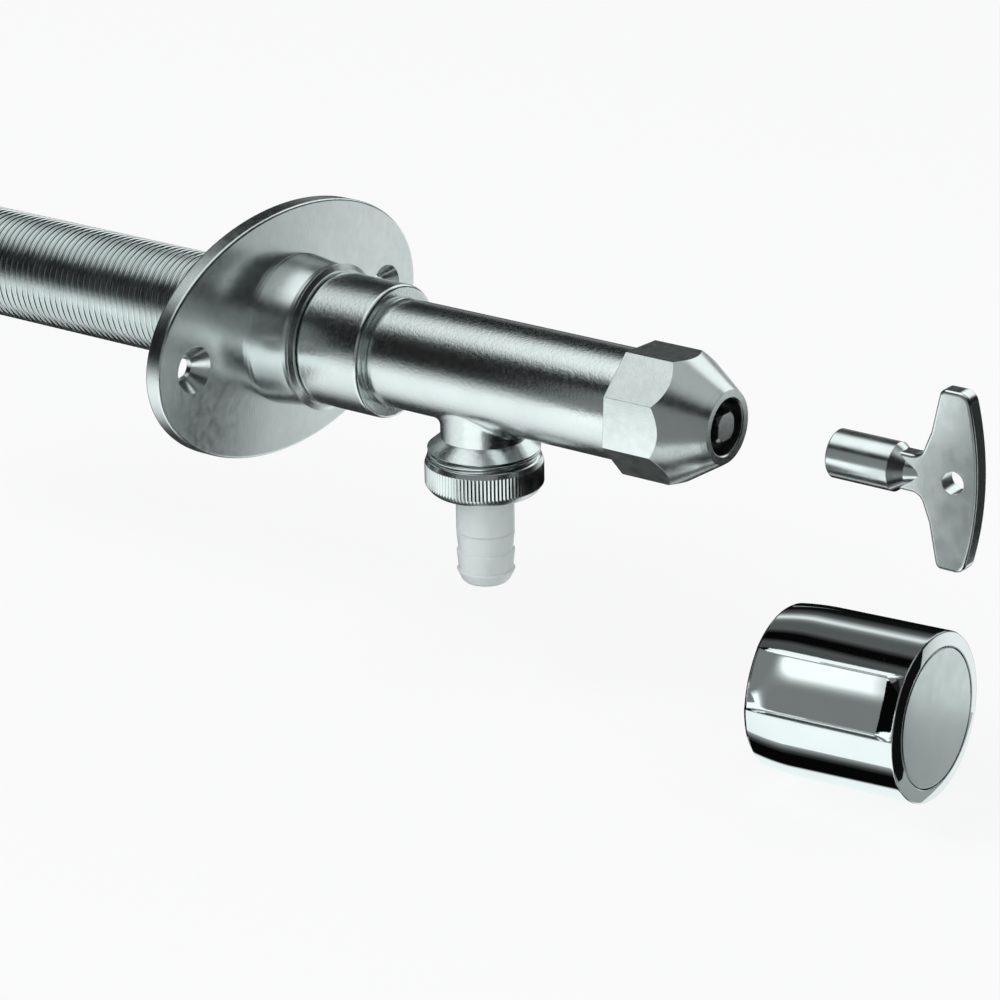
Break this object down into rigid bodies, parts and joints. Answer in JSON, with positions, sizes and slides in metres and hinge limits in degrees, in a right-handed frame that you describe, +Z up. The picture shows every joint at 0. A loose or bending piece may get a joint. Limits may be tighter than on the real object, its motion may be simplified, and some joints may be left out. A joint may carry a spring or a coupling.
{
  "type": "outdoor wall tap",
  "caption": "Frost-proof outdoor wall tap: oval wall flange on a threaded sleeve, satin body with hose outlet, octagonal head nut, loose socket key and push-on knob.",
  "frame": {"origin": "centre of the wall flange's back face, on the valve axis", "axes": "+X out of the wall along the valve axis, +Z up, hose outlet towards -Z"},
  "size_m": [0.3416, 0.0972, 0.1057],
  "materials": {
    "satin_nickel": "sand-blasted satin nickel",
    "nickel_thread": "cut thread, nickel plated",
    "nickel_knurl": "knurled, nickel plated",
    "brass": "turned",
    "stainless": "turned",
    "rubber": "moulded",
    "white_plastic": "moulded",
    "black_plastic": "moulded",
    "pale_plastic": "moulded, slightly greenish grey",
    "satin_key": "cast, satin faces and polished edges",
    "knob_chrome": "polished chrome",
    "satin_cap": "satin chrome"
  },
  "bodies": {
    "valve": {"wall_flange": "satin_nickel", "wall_sleeve": "nickel_thread", "lock_collar": "satin_nickel", "valve_body": "satin_nickel", "body_seal": "rubber", "head_nut": "satin_nickel", "spindle_guide": "brass", "spindle_seals": "rubber", "guide_seal": "rubber", "seat_fitting": "brass", "check_cage": "white_plastic", "check_spring": "stainless"},
    "spindle": {"spindle": "stainless", "thrust_washer": "white_plastic", "retaining_ring": "stainless"},
    "disc": {"disc_carrier": "brass", "valve_washer": "rubber", "washer_screw": "stainless"},
    "poppet": {"check_poppet": "white_plastic"},
    "hose_tail": {"hose_tail": "pale_plastic", "outlet_washer": "rubber"},
    "union_nut": {"union_nut": "nickel_knurl"},
    "key": {"socket_key": "satin_key"},
    "knob": {"knob_shell": "knob_chrome", "knob_hub": "black_plastic", "knob_cap": "satin_cap"}
  },
  "joints": [
    {"name": "spindle_turn", "type": "hinge", "parent": "valve", "child": "spindle", "pos_m": [0, 0, 0], "axis": [1, 0, 0], "range_deg": [0, 540]},
    {"name": "disc_travel", "type": "slide", "parent": "valve", "child": "disc", "axis": [1, 0, 0], "range_m": [0, 0.00302]},
    {"name": "check_lift", "type": "slide", "parent": "valve", "child": "poppet", "axis": [0, 0, -1], "range_m": [0, 0.002], "stiffness_N_per_m": 60, "springref_m": -0.003, "deforming": ["check_spring"]},
    {"name": "tail_drop", "type": "slide", "parent": "valve", "child": "hose_tail", "axis": [0, 0, -1], "range_m": [0, 0.00455]},
    {"name": "union_nut_turn", "type": "hinge", "parent": "hose_tail", "child": "union_nut", "pos_m": [0.0604, 0, 0], "axis": [0, 0, -1], "range_deg": [0, 900]},
    {"name": "key_slide", "type": "slide", "parent": "spindle", "child": "key", "axis": [-1, 0, 0], "range_m": [0, 0.0402]},
    {"name": "knob_turn", "type": "hinge", "parent": "valve", "child": "knob", "pos_m": [0.1439, -0.001, -0.0578], "axis": [0.999, 0.0308, 0.0308], "range_deg": [0, 540]}
  ],
  "couplings": [
    {"joint": "disc_travel", "follows": "spindle_turn", "m_per_rad": 0.00031831},
    {"joint": "tail_drop", "follows": "union_nut_turn", "m_per_rad": 0.00028871}
  ]
}
